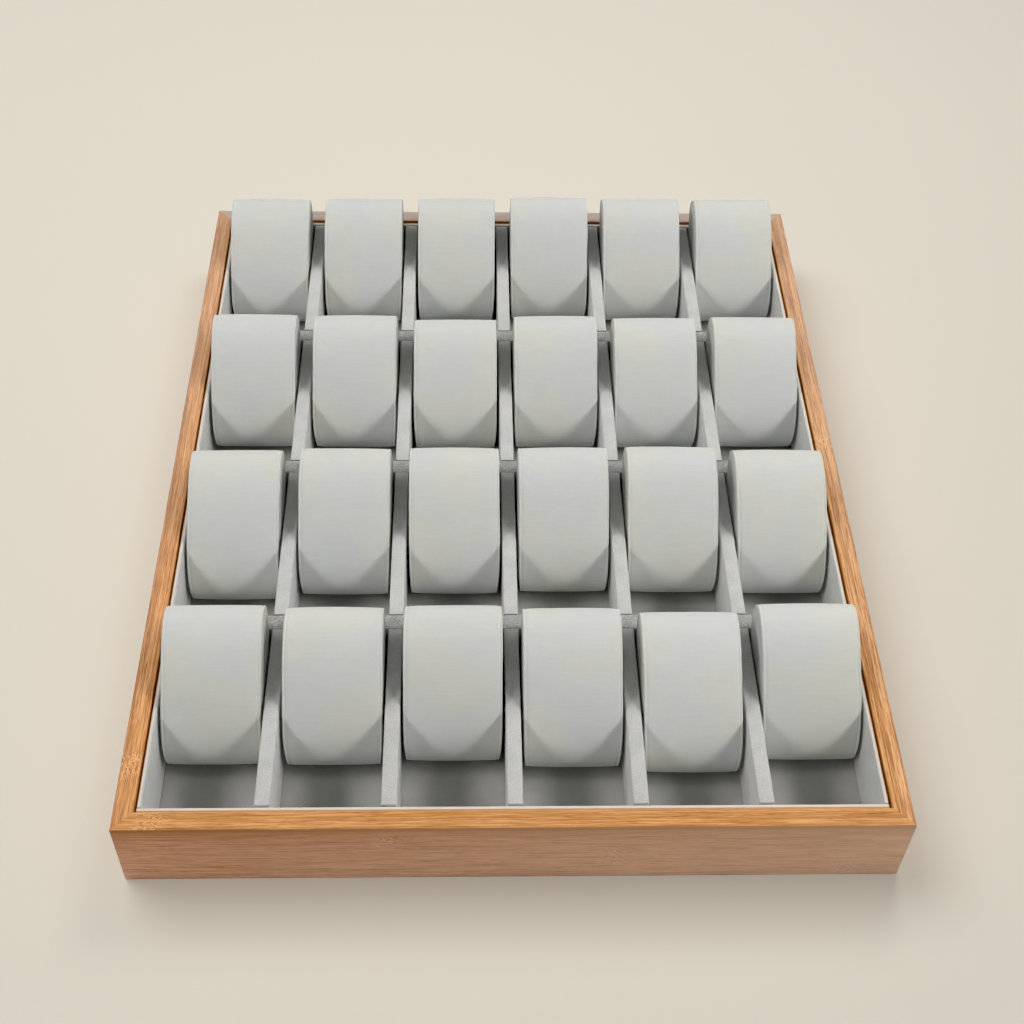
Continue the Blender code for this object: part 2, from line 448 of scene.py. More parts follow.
def mix_colours(tree, factor, first, second, blend="MIX"):
    """Mix two colours, each a node's output or red, green and blue."""
    inputs = {0: factor}
    for socket, colour in ((6, first), (7, second)):
        inputs[socket] = (*colour, 1) if isinstance(colour, tuple) else colour
    return node(tree, "ShaderNodeMix", inputs, data_type="RGBA", blend_type=blend).outputs[2]


def ramp(tree, factor, stops):
    """A colour ramp through stops of place and colour."""
    made = node(tree, "ShaderNodeValToRGB", {"Fac": factor})
    elements = made.color_ramp.elements
    while len(elements) < len(stops):
        elements.new(0.5)
    for element, (place, colour) in zip(elements, stops):
        element.position = place
        element.color = (*colour, 1)
    return made.outputs["Color"]


def new_group(name, inputs, outputs):
    """A node group with named sockets, each given as name, kind and default."""
    tree = bpy.data.node_groups.new(name, "ShaderNodeTree")
    for label, kind, default in inputs:
        socket = tree.interface.new_socket(label, in_out="INPUT", socket_type=kind)
        if default is not None:
            socket.default_value = default
    for label, kind in outputs:
        tree.interface.new_socket(label, in_out="OUTPUT", socket_type=kind)
    start = tree.nodes.new("NodeGroupInput").outputs
    end = tree.nodes.new("NodeGroupOutput").inputs
    return tree, start, end


def new_material(name):
    """A material with its tree, its Principled shader and its object coordinates."""
    made = bpy.data.materials.new(name)
    made.use_nodes = True
    tree = made.node_tree
    shader = tree.nodes["Principled BSDF"]
    place = tree.nodes.new("ShaderNodeTexCoord")
    return made, tree, shader, place


def bump(tree, height, depth, strength=1.0):
    """A normal from a height between 0 and 1 that stands for this depth."""
    inputs = {"Height": height, "Distance": depth, "Strength": strength}
    return node(tree, "ShaderNodeBump", inputs).outputs["Normal"]


# Shared effects

def bamboo_strips(tree, start, axes):
    """Which strip and which ply a point is in, and each strip's own chance."""
    across = sum_of(tree, "DIVIDE", axes[1], start["Strip Across"])
    below = sum_of(tree, "SUBTRACT", RAIL_TOP - TOP_PLY, axes[2])
    ply = sum_of(tree, "CEIL", sum_of(tree, "DIVIDE", below, start["Strip Up"]))
    ply = sum_of(tree, "MAXIMUM", ply, 0.0)
    strip = node(tree, "ShaderNodeCombineXYZ", {
        0: sum_of(tree, "FLOOR", across), 1: ply, 2: start["Seed"],
    }).outputs[0]
    chance = node(tree, "ShaderNodeTexWhiteNoise", {"Vector": strip}, noise_dimensions="3D").outputs
    return across, ply, chance


def bamboo_fibres(tree, shift):
    """Streaks, fibres and pores that drift a little from the straight."""
    wave = noise(tree, shift, WAVE_SIZE, detail=1.0)
    drift = node(tree, "ShaderNodeCombineXYZ", {
        1: sum_of(tree, "MULTIPLY", wave, WAVE_REACH), 2: sum_of(tree, "MULTIPLY", wave, WAVE_REACH),
    }).outputs[0]
    grown = vector_sum(tree, shift, drift)
    streaks = noise(tree, grown, STREAK_SIZE, detail=3.0, roughness=0.62)
    fibres = noise(tree, grown, FIBRE_SIZE, roughness=0.6)
    pore_cells = node(tree, "ShaderNodeTexVoronoi", {
        "Vector": scaled(tree, grown, PORE_SIZE), "Scale": 1.0,
    }, feature="F1").outputs["Distance"]
    return streaks, fibres, spread(tree, pore_cells, *PORE_SHARES)


def bamboo_knuckles(tree, start, along, ply, chance, shift):
    """Where the stalk's knuckles are, one step along for each ply, and the rings in them."""
    stray = axes_of(tree, chance["Color"])[2]
    counted = sum_of(tree, "DIVIDE", sum_of(tree, "SUBTRACT", along, start["Knuckle At"]), KNUCKLE_SPACING)
    counted = sum_of(tree, "ADD", counted, sum_of(tree, "MULTIPLY", stray, KNUCKLE_STRAY_SHARE))
    step = sum_of(tree, "MULTIPLY", ply, -KNUCKLE_STEP / KNUCKLE_SPACING)
    counted = sum_of(tree, "FRACT", sum_of(tree, "ADD", counted, step))
    away = sum_of(tree, "ABSOLUTE", sum_of(tree, "SUBTRACT", counted, 0.5))
    knuckle = spread(tree, away, *KNUCKLE_SHARES)
    burl = noise(tree, shift, BURL_SIZE, detail=1.5)
    rings = sum_of(tree, "SINE", sum_of(tree, "MULTIPLY", burl, BURL_RINGS))
    figure = sum_of(tree, "MULTIPLY", sum_of(tree, "ADD", rings, RING_LIFT), RING_TONE)
    return knuckle, figure


def bamboo_grain_group():
    """Laminated bamboo with its grain along X: strips, streaks, fibres, pores and knuckles."""
    size = "NodeSocketFloat"
    tree, start, end = new_group(
        "bamboo_grain",
        [("Vector", "NodeSocketVector", None), ("Strip Across", size, STRIP_ACROSS),
         ("Strip Up", size, STRIP_UP), ("Knuckle At", size, 0.0), ("Seed", size, 0.0)],
        [("Tone", size), ("Height", size)],
    )
    axes = axes_of(tree, start["Vector"])
    across, ply, chance = bamboo_strips(tree, start, axes)
    shift = vector_sum(tree, start["Vector"], chance["Color"])
    streaks, fibres, pores = bamboo_fibres(tree, shift)
    knuckle, figure = bamboo_knuckles(tree, start, axes[0], ply, chance, shift)
    broad = noise(tree, shift, BROAD_SIZE)
    edge = sum_of(tree, "ABSOLUTE", sum_of(tree, "SUBTRACT", sum_of(tree, "FRACT", across), 0.5))
    glue = spread(tree, edge, *GLUE_SHARES)

    tone = with_mark(tree, 0.5, broad, BROAD_TONE)
    tone = with_mark(tree, tone, streaks, STREAK_TONE)
    tone = with_mark(tree, tone, fibres, FIBRE_TONE)
    tone = with_mark(tree, tone, chance["Value"], STRIP_TONE)
    tone = sum_of(tree, "MULTIPLY_ADD", pores, PORE_TONE, tone)
    tone = sum_of(tree, "ADD", tone, TONE_LIFT)
    tone = sum_of(tree, "MULTIPLY_ADD", glue, GLUE_TONE, tone)
    tone = sum_of(tree, "MULTIPLY_ADD", figure, knuckle, tone)
    tree.links.new(tone, end["Tone"])
    tree.links.new(sum_of(tree, "MULTIPLY_ADD", pores, PORE_DEPTH, fibres), end["Height"])
    return tree


def nap_group():
    """A brushed pile: soft patches where it was stroked, and fine fibres."""
    size = "NodeSocketFloat"
    tree, start, end = new_group(
        "brushed_nap",
        [("Vector", "NodeSocketVector", None), ("Patch Size", size, NAP_PATCH),
         ("Fibre Size", size, NAP_FIBRE)],
        [("Patches", size), ("Fibres", size), ("Height", size)],
    )

    def sized(divisor, detail, roughness):
        counted = node(tree, "ShaderNodeVectorMath", {
            0: start["Vector"], "Scale": sum_of(tree, "DIVIDE", 1.0, divisor),
        }, operation="SCALE").outputs[0]
        inputs = {"Vector": counted, "Scale": 1.0, "Detail": detail, "Roughness": roughness}
        return node(tree, "ShaderNodeTexNoise", inputs).outputs["Fac"]

    patches = sized(start["Patch Size"], detail=2.0, roughness=0.5)
    fibres = sized(start["Fibre Size"], detail=2.0, roughness=0.7)
    finer_size = sum_of(tree, "MULTIPLY", start["Fibre Size"], FINER_SHARE)
    finer = sized(finer_size, detail=1.0, roughness=0.6)
    tree.links.new(patches, end["Patches"])
    tree.links.new(fibres, end["Fibres"])
    height = weighed(tree, (fibres, FIBRE_WEIGHT), (finer, FINER_WEIGHT))
    tree.links.new(height, end["Height"])
    return tree


BAMBOO_GRAIN = bamboo_grain_group()
NAP = nap_group()


# Materials

def bamboo_top(tree, tone, rearward, contrast, paleness, shade):
    """The top of a rail: it pales to the rear and has its own shade."""
    wood = ramp(tree, with_mark(tree, 0.5, tone, contrast), TOP_TONES)
    start, end = PALE_FROM_SHARE * cad_low.y, PALE_TO_SHARE * cad_high.y
    pale = spread(tree, rearward, start, end, paleness, paleness + REAR_PALENESS)
    return mix_colours(tree, 1.0, mix_colours(tree, pale, wood, PALE_WOOD), shade, "MULTIPLY")


def bamboo_face(tree, tone, axes, foot, haze):
    """A rail's face: painted floor bounce, top ply, a joint with painted arris shade, painted reflection.
    """
    sideways, height = axes[0], axes[2]
    wood = ramp(tree, with_mark(tree, 0.5, tone, FACE_CONTRAST), FACE_TONES)
    # Painted light: paler low on the face, where the floor bounces light onto it, and darker near the top.
    painted_bounce_fade = spread(tree, height, 0.0, RAIL_TOP, ends="LINEAR")
    wood = mix_colours(tree, 1.0, wood, mix_colours(tree, painted_bounce_fade, foot, PAINTED_HEAD_SHADE), "MULTIPLY")
    top_ply = spread(tree, height, RAIL_TOP - 3 * TOP_PLY, RAIL_TOP - ARRIS, 0.0, TOP_PLY_COVER)
    wood = mix_colours(tree, top_ply, wood, TOP_PLY_COLOUR)
    # A dark line below the top ply: partly the ply's joint, partly painted shade under the rounded arris.
    seam_and_arris_shade = spread(tree, height, RAIL_TOP - TOP_PLY, RAIL_TOP - TOP_PLY / 2, 0.0, SEAM_AND_ARRIS_SHADE_COVER)
    wood = mix_colours(tree, seam_and_arris_shade, wood, SEAM_AND_ARRIS_SHADE_COLOUR)
    # Painted reflection: paler and greyer towards the right end of the face.
    haze_there = spread(tree, sideways, cad_low.x, cad_high.x, PAINTED_REFLECTION_AT_LEFT, haze, ends="LINEAR")
    return mix_colours(tree, haze_there, wood, PAINTED_REFLECTION_COLOUR)


def bamboo(name, quarter_turn, seed, knuckle_at, paleness, shade, contrast, foot=PAINTED_FOOT_BOUNCE, haze=0.0):
    """Caramel bamboo under a satin lacquer. A quarter turn runs the grain along Y."""
    made, tree, shader, place = new_material(name)
    turned = node(tree, "ShaderNodeMapping", {
        "Vector": place.outputs["Object"], "Rotation": (0, 0, math.radians(-90) if quarter_turn else 0),
    }).outputs[0]
    grain = node(tree, "ShaderNodeGroup", {
        "Vector": turned, "Seed": seed, "Knuckle At": knuckle_at,
    }, node_tree=BAMBOO_GRAIN).outputs
    axes = axes_of(tree, place.outputs["Object"])
    top = bamboo_top(tree, grain["Tone"], axes[1], contrast, paleness, shade)
    face = bamboo_face(tree, grain["Tone"], axes, foot, haze)
    facing_up = spread(tree, axes_of(tree, place.outputs["Normal"])[2], *FACING_UP)
    set_inputs(tree, shader, {
        "Base Color": mix_colours(tree, facing_up, face, top),
        "Roughness": spread(tree, grain["Height"], 0.1, 0.8, to_low=0.52, to_high=0.36),
        "Normal": bump(tree, grain["Height"], WOOD_DEPTH, strength=0.6),
        "Specular IOR Level": 0.4,
    })
    return made


def nap_on(tree, place, patch, fibre):
    """A brushed nap on a piece, with patches and fibres of these sizes."""
    return node(tree, "ShaderNodeGroup", {
        "Vector": place.outputs["Object"], "Patch Size": patch, "Fibre Size": fibre,
    }, node_tree=NAP).outputs


def pile(name, dark, light, patch, fibre, sheen, depth):
    """A matte pile cloth between two colours, with patches and fibres of these sizes."""
    made, tree, shader, place = new_material(name)
    nap = nap_on(tree, place, patch, fibre)
    soft = spread(tree, nap["Patches"], 0.2, 0.8)
    fine = spread(tree, nap["Fibres"], 0.2, 0.8)
    tone = weighed(tree, (soft, PILE_PATCH_WEIGHT), (fine, PILE_FIBRE_WEIGHT))
    set_inputs(tree, shader, {
        "Base Color": mix_colours(tree, tone, dark, light),
        "Normal": bump(tree, nap["Height"], depth),
        "Roughness": 0.9,
        "Specular IOR Level": 0.2,
        "Sheen Weight": sheen,
        "Sheen Roughness": 0.45,
    })
    return made


def suede(name, lightness):
    """Pale grey suede with faint marks round the pillow, cooler and warmer by turns."""
    made, tree, shader, place = new_material(name)
    nap = nap_on(tree, place, patch=34 * MM, fibre=0.45 * MM)
    marks = noise(tree, place.outputs["Object"], MARK_SIZE, detail=3.0, roughness=0.6)
    clouds = noise(tree, place.outputs["Object"], CLOUD_SIZE, roughness=0.6)
    warmth = spread(tree, nap["Patches"], 0.35, 0.65)
    tone = with_mark(tree, lightness, marks, MARK_TONE)
    tone = with_mark(tree, tone, clouds, CLOUD_TONE)
    tone = with_mark(tree, tone, nap["Fibres"], NAP_TONE)
    grey = node(tree, "ShaderNodeCombineXYZ", {0: tone, 1: tone, 2: tone}).outputs[0]
    tint = mix_colours(tree, warmth, COOL_GREY, WARM_GREY)
    ruffle = sum_of(tree, "MULTIPLY_ADD", marks, MARK_DEPTH, nap["Height"])
    set_inputs(tree, shader, {
        "Base Color": mix_colours(tree, 1.0, tint, grey, "MULTIPLY"),
        "Normal": bump(tree, ruffle, SUEDE_DEPTH),
        "Roughness": 0.85,
        "Specular IOR Level": 0.2,
        "Sheen Weight": 0.35,
        "Sheen Roughness": 0.4,
    })
    return made


def hardboard(name):
    """Pressed fibreboard, seen from below the tray."""
    made, tree, shader, place = new_material(name)
    nap = nap_on(tree, place, patch=30 * MM, fibre=1.2 * MM)
    set_inputs(tree, shader, {
        "Base Color": ramp(tree, nap["Fibres"], FIBREBOARD_TONES),
        "Normal": bump(tree, nap["Height"], FIBREBOARD_DEPTH),
        "Roughness": 0.75,
    })
    return made


VELVET = pile(
    "velvet_grey", dark=(0.415, 0.42, 0.41), light=(0.65, 0.655, 0.64),
    patch=9 * MM, fibre=0.55 * MM, sheen=1.0, depth=0.12 * MM,
)
CROSS_VELVET = pile(
    "velvet_across", dark=(0.15, 0.155, 0.15), light=(0.62, 0.625, 0.61),
    patch=4 * MM, fibre=0.8 * MM, sheen=0.8, depth=0.16 * MM,
)
# The cells' floors take a darker velvet: partly the lining's own darker colour, partly painted shade that
# falls deep in the cells.
FLOOR_VELVET_AND_SHADE = pile(
    "velvet_floor_and_painted_shade", dark=(0.34, 0.34, 0.335), light=(0.50, 0.50, 0.49),
    patch=12 * MM, fibre=0.5 * MM, sheen=0.2, depth=0.12 * MM,
)
EDGE_BOARD = pile(
    "liner_edge_board", dark=(0.66, 0.57, 0.49), light=(0.80, 0.71, 0.62),
    patch=5 * MM, fibre=0.3 * MM, sheen=0.0, depth=0.03 * MM,
)
EDGE_PAPER = pile(
    "liner_edge_paper", dark=(0.42, 0.26, 0.16), light=(0.56, 0.37, 0.24),
    patch=5 * MM, fibre=0.3 * MM, sheen=0.0, depth=0.03 * MM,
)
SUEDE = suede("suede_pale", lightness=1.10)
# The rims' suede is painted lighter: a painted highlight along the band's edges.
RIM_SUEDE_HIGHLIGHT = suede("suede_rim_painted_highlight", lightness=1.23)
# The caps' suede is the band's cloth painted darker: painted shade for the caps, which sit deep between
# the dividers.
CAP_SUEDE_PAINTED_SHADE = suede("suede_cap_painted_shade", lightness=0.90)
HARDBOARD = hardboard("base_hardboard")


# The bamboo frame

def rail(name, quarter_turn, **looks):
    """A mitred rail with eased long edges and a groove for the base panel."""
    low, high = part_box(name)
    long_axis = 1 if quarter_turn else 0
    cross_axis = 1 - long_axis
    low[long_axis] = cad_low[long_axis]
    high[long_axis] = cad_high[long_axis]
    outward, outer = outer_face(low, high, cross_axis)
    half_length = (high - low)[long_axis] / 2

    def is_long(edge):
        return abs((edge.verts[0].co - edge.verts[1].co)[long_axis]) > half_length

    piece = board(f"{name}_bamboo", low, high)
    open_for_edit(piece, "EDGE")
    select_where(piece, "edges", is_long)
    bpy.ops.mesh.bevel(offset=ARRIS, segments=3, affect="EDGES")
    for end, tip in ((-1, low[long_axis]), (1, high[long_axis])):
        corner = along_axis(long_axis, tip - end * MITRE_GAP) + along_axis(cross_axis, outer)
        slope = along_axis(long_axis, end) - along_axis(cross_axis, outward)
        bpy.ops.mesh.select_all(action="SELECT")
        bpy.ops.mesh.bisect(plane_co=corner, plane_no=slope, use_fill=True, clear_outer=True)
    close_edit()
    base_low, base_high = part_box("base_panel")
    room = Vector((0, 0, GROOVE_ROOM))
    cut_away(piece, [board("groove", base_low - room, base_high + room)])
    smooth(piece)
    dress(piece, bamboo(f"bamboo_{name}", quarter_turn, **looks))
    stand_for(piece, name)


# The front rail's faces take the strongest painted floor bounce and a painted reflection towards the
# right.
rail(
    "frame_front_rail", quarter_turn=False, seed=0.4, knuckle_at=-153 * MM,
    paleness=0.0, shade=(0.95, 0.91, 0.87), contrast=1.0, foot=(1.30, 1.34, 1.46), haze=0.34,
)
rail(
    "frame_rear_rail", quarter_turn=False, seed=1.8, knuckle_at=60 * MM,
    paleness=0.36, shade=(0.86, 1.03, 1.28), contrast=1.2,
)
rail(
    "frame_left_rail", quarter_turn=True, seed=3.1, knuckle_at=-178 * MM,
    paleness=0.03, shade=(1.05, 1.01, 1.05), contrast=1.3,
)
rail(
    "frame_right_rail", quarter_turn=True, seed=4.5, knuckle_at=20 * MM,
    paleness=0.02, shade=(0.95, 0.93, 0.98), contrast=1.5,
)


# The velvet insert

def liner(name, edge, reach=0.0):
    """A thin board faced with velvet. The outer part of its top edge shows board, then paper."""
    low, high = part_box(name)
    low.y -= reach
    piece = board(f"{name}_faced", low, high)
    round_edges(piece, LINER_ROUND)
    across = 0 if high.x - low.x < high.y - low.y else 1
    outward, outer = outer_face(low, high, across)
    for depth in edge.values():
        open_for_edit(piece, "FACE")
        select_where(piece, "faces", lambda face: face.calc_center_median().z > high.z - LINER_ROUND)
        fold = along_axis(across, outer - outward * depth)
        bpy.ops.mesh.bisect(plane_co=fold, plane_no=along_axis(across, outward))
        close_edit()
    smooth(piece)
    dress(piece, VELVET, EDGE_BOARD, EDGE_PAPER)
    for face in piece.data.polygons:
        inward = (outer - face.center[across]) * outward
        if face.center.z > high.z - LINER_ROUND and face.normal.z > UPWARD:
            face.material_index = (inward < edge["board"]) + (inward < edge["paper"])
    stand_for(piece, name)


def long_divider(name):
    """A wrapped board that runs from front to rear, slotted from above at each crossing."""
    low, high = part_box(name)
    low.y += DIVIDER_SHRINKAGE
    piece = board(f"{name}_wrapped", low, high)
    round_edges(piece, WRAP_ROUND)
    cutters = []
    for number in range(1, ROWS):
        cross_low, cross_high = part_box(f"cross_divider_{number}")
        start = Vector((low.x - OVERRUN, cross_low.y - LAP_ROOM, (low.z + high.z) / 2))
        end = Vector((high.x + OVERRUN, cross_high.y + LAP_ROOM_BEHIND, high.z + OVERRUN))
        cutters.append(board("slot_cutter", start, end))
    cut_away(piece, cutters)
    smooth(piece)
    dress(piece, VELVET)
    stand_for(piece, name)


def cross_divider(name):
    """A wrapped board from left to right, slotted from below to drop over the long dividers."""
    low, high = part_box(name)
    piece = board(f"{name}_wrapped", low, high)
    round_edges(piece, WRAP_ROUND)
    cutters = []
    for number in range(1, COLUMNS):
        long_low, long_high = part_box(f"long_divider_{number}")
        start = Vector((long_low.x - LAP_ROOM, low.y - OVERRUN, low.z - OVERRUN))
        end = Vector((long_high.x + LAP_ROOM, high.y + OVERRUN, (low.z + high.z) / 2))
        cutters.append(board("slot_cutter", start, end))
    cut_away(piece, cutters)
    smooth(piece)
    dress(piece, VELVET, CROSS_VELVET)
    for face in piece.data.polygons:
        face.material_index = face.normal.z > UPWARD
    stand_for(piece, name)


liner("liner_front_wall", FRONT_LINER_EDGE, reach=LINER_REACH)
liner("liner_rear_wall", REAR_LINER_EDGE)
liner("liner_left_wall", LINER_EDGE)
liner("liner_right_wall", LINER_EDGE)
for number in range(1, COLUMNS):
    long_divider(f"long_divider_{number}")
for number in range(1, ROWS):
    cross_divider(f"cross_divider_{number}")
dress(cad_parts["floor_lining"], FLOOR_VELVET_AND_SHADE)
dress(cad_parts["base_panel"], HARDBOARD)


# The pillows

Lie = namedtuple("Lie", "middle lean length thickness")


def lie_of(node_name):
    """How a pillow lies: its middle, its lean, its length and its thickness."""
    points = points_of(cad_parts[node_name])
    middle = (points.min(0) + points.max(0)) / 2
    seen = points[:, 1:] - middle[1:]
    way = np.linalg.eigh(seen.T @ seen)[1][:, -1]
    way = way * np.sign(way[0])
    lean = math.atan2(way[1], way[0])
    thickness = np.ptp(seen @ np.array((-way[1], way[0])))
    return Lie(middle, lean, np.ptp(seen @ way), thickness)


def oval(half_length, half_thickness, count):
    """Evenly spaced points round a squared oval."""
    turns = np.linspace(0, 2 * math.pi, OVAL_SAMPLES)
    power = 2 / OVAL_POWER
    along = half_length * np.sign(np.cos(turns)) * np.abs(np.cos(turns)) ** power
    up = half_thickness * np.sign(np.sin(turns)) * np.abs(np.sin(turns)) ** power
    steps = np.hypot(np.diff(along), np.diff(up))
    way = np.concatenate(([0], np.cumsum(steps)))
    places = np.linspace(0, way[-1], count, endpoint=False)
    return np.interp(places, way, along), np.interp(places, way, up)


def oval_disc(name, x, half_length, half_thickness):
    """A filled disc that is shaped to the pillow's oval and stands across X."""
    bpy.ops.object.select_all(action="DESELECT")
    bpy.ops.mesh.primitive_circle_add(vertices=RING_POINTS, radius=half_length, fill_type="NGON")
    piece = new_piece(name)
    along, up = oval(half_length, half_thickness, RING_POINTS)
    move_points(piece, np.column_stack((np.full(RING_POINTS, x), along, up)))
    return piece


def deepen_disc(piece, depth):
    """Extrude a disc along X to a closed solid, and leave it in edit mode, ready for its edges."""
    open_for_edit(piece, "FACE")
    bpy.ops.mesh.select_all(action="SELECT")
    bpy.ops.mesh.extrude_region_move(TRANSFORM_OT_translate={"value": (depth, 0, 0)})
    bpy.ops.mesh.select_all(action="SELECT")
    bpy.ops.mesh.normals_make_consistent(inside=False)
    bpy.ops.mesh.select_mode(type="EDGE")


def select_side(piece, side):
    """In edit mode, select the large flat face at one side of a pillow's piece, 1 or -1."""
    select_where(piece, "faces", lambda face: face.normal.x * side > SIDEWAYS and len(face.verts) > 4)


def band_stations(half):
    """Places across the band, from one side to the other, close together at the rims."""
    turns = np.linspace(0, math.pi / 2, RIM_STATIONS + 1)
    rim = half - RIM_ROUND * (1 - np.cos(turns))
    roll = half - RIM_ROUND - ROLL_WIDTH * np.array(ROLL_SHARES)
    face = np.linspace(-roll[-1], roll[-1], FACE_STATIONS + 2)[1:-1]
    outer = np.concatenate((rim, roll))
    return np.concatenate((-outer, face, outer[::-1]))


def band_profile(across, half):
    """How far the band's surface lies inside the pillow's oval at these places."""
    from_side = half - np.abs(across)
    turn = np.clip(1 - from_side / RIM_ROUND, 0, 1)
    rounding = RIM_ROUND * (1 - np.sqrt(1 - turn ** 2))
    crown = BAND_CROWN * (np.abs(across) / half) ** 2
    on_roll = np.clip((from_side - RIM_ROUND) / ROLL_WIDTH, 0, 1)
    groove = ROLL_HEIGHT * np.sin(math.pi * on_roll) ** 2
    return rounding + crown + groove


def band_master(name, width, length, thickness):
    """A fabric band round the foam, with rolled rims and a recess for a cap at each side."""
    half = width / 2
    stations = band_stations(half)
    piece = oval_disc(name, -half, length / 2, thickness / 2)
    deepen_disc(piece, width)
    select_where(piece, "edges", lambda edge: abs(edge.verts[0].co.x - edge.verts[1].co.x) > half)
    bpy.ops.mesh.subdivide(number_cuts=len(stations) - 2)
    close_edit()
    points = points_of(piece)
    rings = np.rint((points[:, 0] + half) / width * (len(stations) - 1)).astype(int)
    points[:, 0] = stations[rings]
    reach = np.hypot(points[:, 1], points[:, 2])
    points[:, 1:] *= (1 - band_profile(points[:, 0], half) / reach)[:, None]
    move_points(piece, points)
    open_for_edit(piece, "FACE")
    select_where(piece, "faces", lambda face: len(face.verts) > 4)
    bpy.ops.mesh.inset(thickness=HEM_WIDTH, use_individual=True)
    for side in (-1, 1):
        select_side(piece, side)
        bpy.ops.mesh.extrude_region_move(TRANSFORM_OT_translate={"value": (-side * RECESS_DEPTH, 0, 0)})
    close_edit()
    # The faces round each rim take the second material, the lighter suede that paints a highlight.
    for face in piece.data.polygons:
        face.material_index = abs(face.center.x) > half - RIM_ROUND and abs(face.normal.x) < SIDEWAYS
    return piece


def swell(piece, still):
    """Let the cloth swell from inside, except the points that are held still."""
    group = piece.vertex_groups.new(name="held")
    group.add([int(k) for k in np.flatnonzero(still)], 1.0, "REPLACE")
    start = points_of(piece)
    only(piece)
    bpy.ops.object.modifier_add(type="CLOTH")
    cloth = piece.modifiers[-1]
    for key, value in CLOTH.items():
        setattr(cloth.settings, key, value)
    cloth.settings.vertex_group_mass = "held"
    cloth.settings.effector_weights.gravity = 0
    for moment in range(1, SIMULATED_FRAMES + 1):
        bpy.context.scene.frame_set(moment)
    bpy.ops.object.modifier_apply(modifier=cloth.name)
    bpy.context.scene.frame_set(1)
    moved = points_of(piece) - start
    reach = np.linalg.norm(moved, axis=1)
    share = np.minimum(1, SWELL_LIMIT / np.maximum(reach, TINY))
    move_points(piece, start + moved * share[:, None])


def cap_master(name, side, width, length, thickness):
    """A domed suede cap that sits in the band's recess."""
    inset = RIM_ROUND + HEM_WIDTH + CAP_GAP
    inner = width / 2 - RECESS_DEPTH + CAP_LIFT
    outer = width / 2 - CAP_SINK
    piece = oval_disc(name, side * inner, length / 2 - inset, thickness / 2 - inset)
    deepen_disc(piece, side * (outer - inner))
    select_where(piece, "edges", lambda edge: min(v.co.x * side for v in edge.verts) > outer - NEARNESS)
    bpy.ops.mesh.bevel(offset=CAP_ROUND, segments=3, affect="EDGES")
    bpy.ops.mesh.select_mode(type="FACE")
    for step in range(DOME_STEPS):
        select_side(piece, side)
        bpy.ops.mesh.inset(thickness=DOME_STEP)
        bpy.ops.transform.translate(value=(side * CAP_DOME / (step + 2) ** DOME_POWER, 0, 0))
    close_edit()
    return piece


def make_masters(width, length, thickness):
    """The plain pillow's band, padded by its cloth, and its two caps."""
    band = band_master("pillow_band_master", width, length, thickness)
    swell(band, np.abs(points_of(band)[:, 0]) > width / 2 - RIM_ROUND - NEARNESS)
    caps = {
        "left": cap_master("cap_master_left", -1, width, length, thickness),
        "right": cap_master("cap_master_right", 1, width, length, thickness),
    }
    for master in (band, *caps.values()):
        apply_modifier(master, "SUBSURF", levels=1, render_levels=1)
    return band, caps


def handwork(points, chance):
    """Shift a pillow's points a little, as a sewn cover pulls: waves along its rims and over its face."""
    turn = np.arctan2(points[:, 2] / np.ptp(points[:, 2]), points[:, 1] / np.ptp(points[:, 1]))
    half = np.ptp(points[:, 0]) / 2
    rims = np.zeros(len(points))
    face = np.zeros(len(points))
    for count in WAVE_COUNTS:
        left, right, over = chance.uniform(0, 2 * math.pi, 3)
        phase = np.where(points[:, 0] < 0, left, right)
        rims += np.sin(count * turn + phase) / count ** 0.5
        face += np.sin(count * turn + over + 2 * points[:, 0] / half) / count ** 0.5
    at_rim = np.sign(points[:, 0]) * np.abs(points[:, 0] / half) ** RIM_POWER
    points[:, 0] += at_rim * (rims - RIM_PULL) * RIM_WAVE / 2
    reach = np.hypot(points[:, 1], points[:, 2])
    points[:, 1:] *= (1 + (face - FACE_PULL) * FACE_WAVE / 2 / np.maximum(reach, half / 2))[:, None]


def taper(points, half_width, half_length):
    """Draw a pillow in a little toward its lower end."""
    toward_tip = np.clip(-points[:, 1] / half_length, 0, 1) ** TIP_POWER
    points[:, 0] *= 1 - TIP_TAPER / half_width * toward_tip


def place_pillow(piece, name, lie, width, plain_length, chance=None):
    """A copy of a master, sized and leaned to one pillow's lie."""
    made = copy_piece(piece, name)
    points = points_of(made)
    taper(points, width / 2, plain_length / 2)
    if chance:
        handwork(points, chance)
    points[:, 1:] *= lie.length / plain_length
    cos, sin = math.cos(lie.lean), math.sin(lie.lean)
    turned = np.column_stack((
        points[:, 0],
        points[:, 1] * cos - points[:, 2] * sin,
        points[:, 1] * sin + points[:, 2] * cos,
    ))
    move_points(made, turned + lie.middle)
    return made


def keep_clear(piece, row):
    """Press a pillow flat where it meets the lining and the divider that it leans on."""
    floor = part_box("floor_lining")[1].z + REST_GAP
    if row == ROWS:
        back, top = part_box("liner_rear_wall")[0].y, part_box("liner_rear_wall")[1].z
    else:
        back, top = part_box(f"cross_divider_{row}")[0].y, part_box(f"cross_divider_{row}")[1].z
    points = points_of(piece)
    points[:, 2] = np.maximum(points[:, 2], floor)
    low = points[:, 2] < top + REST_GAP
    points[low, 1] = np.minimum(points[low, 1], back - REST_GAP)
    move_points(piece, points)


